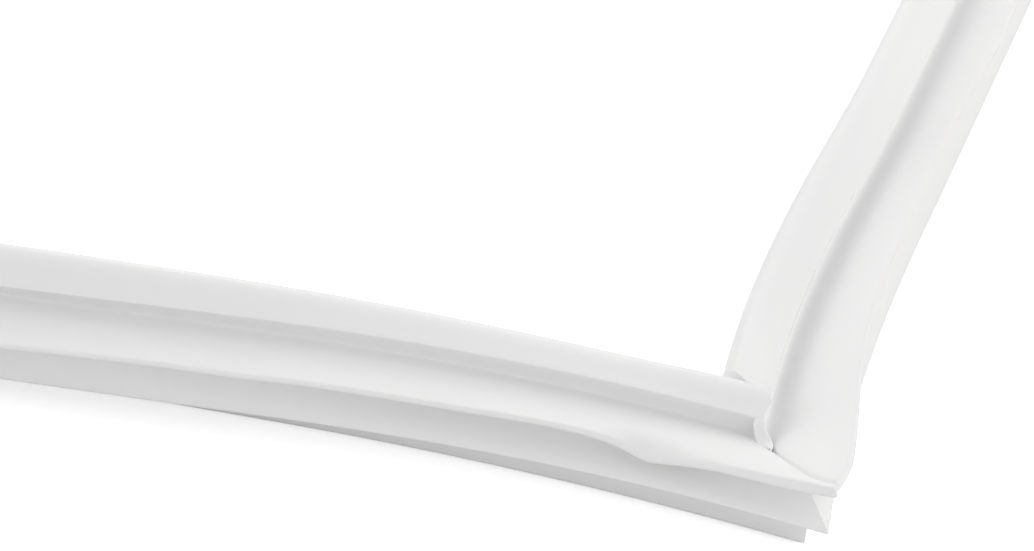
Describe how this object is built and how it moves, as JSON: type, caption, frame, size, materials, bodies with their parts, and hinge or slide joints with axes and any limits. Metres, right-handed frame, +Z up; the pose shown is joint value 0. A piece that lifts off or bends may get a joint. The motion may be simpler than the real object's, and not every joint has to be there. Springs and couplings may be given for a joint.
{
  "type": "refrigerator door gasket",
  "caption": "Rectangular loop of soft white magnetic gasket with welded corners, a sealing lip, a magnet pocket and a push-in dart.",
  "frame": {"origin": "centre of the loop, on the surface that the dart rests on", "axes": "+Z up towards the sealing face, +X along the loop's short sides, +Y along its long sides"},
  "size_m": [0.4292, 0.5592, 0.0243],
  "materials": {
    "soft_pvc": "satin white soft PVC, smooth from the extruder",
    "magnet": "dull dark brown ferrite-filled rubber"
  },
  "bodies": {
    "root": {"gasket_profile": "soft_pvc", "magnet_strip_front": "magnet", "magnet_strip_right": "magnet", "magnet_strip_back": "magnet", "magnet_strip_left": "magnet"}
  },
  "joints": []
}
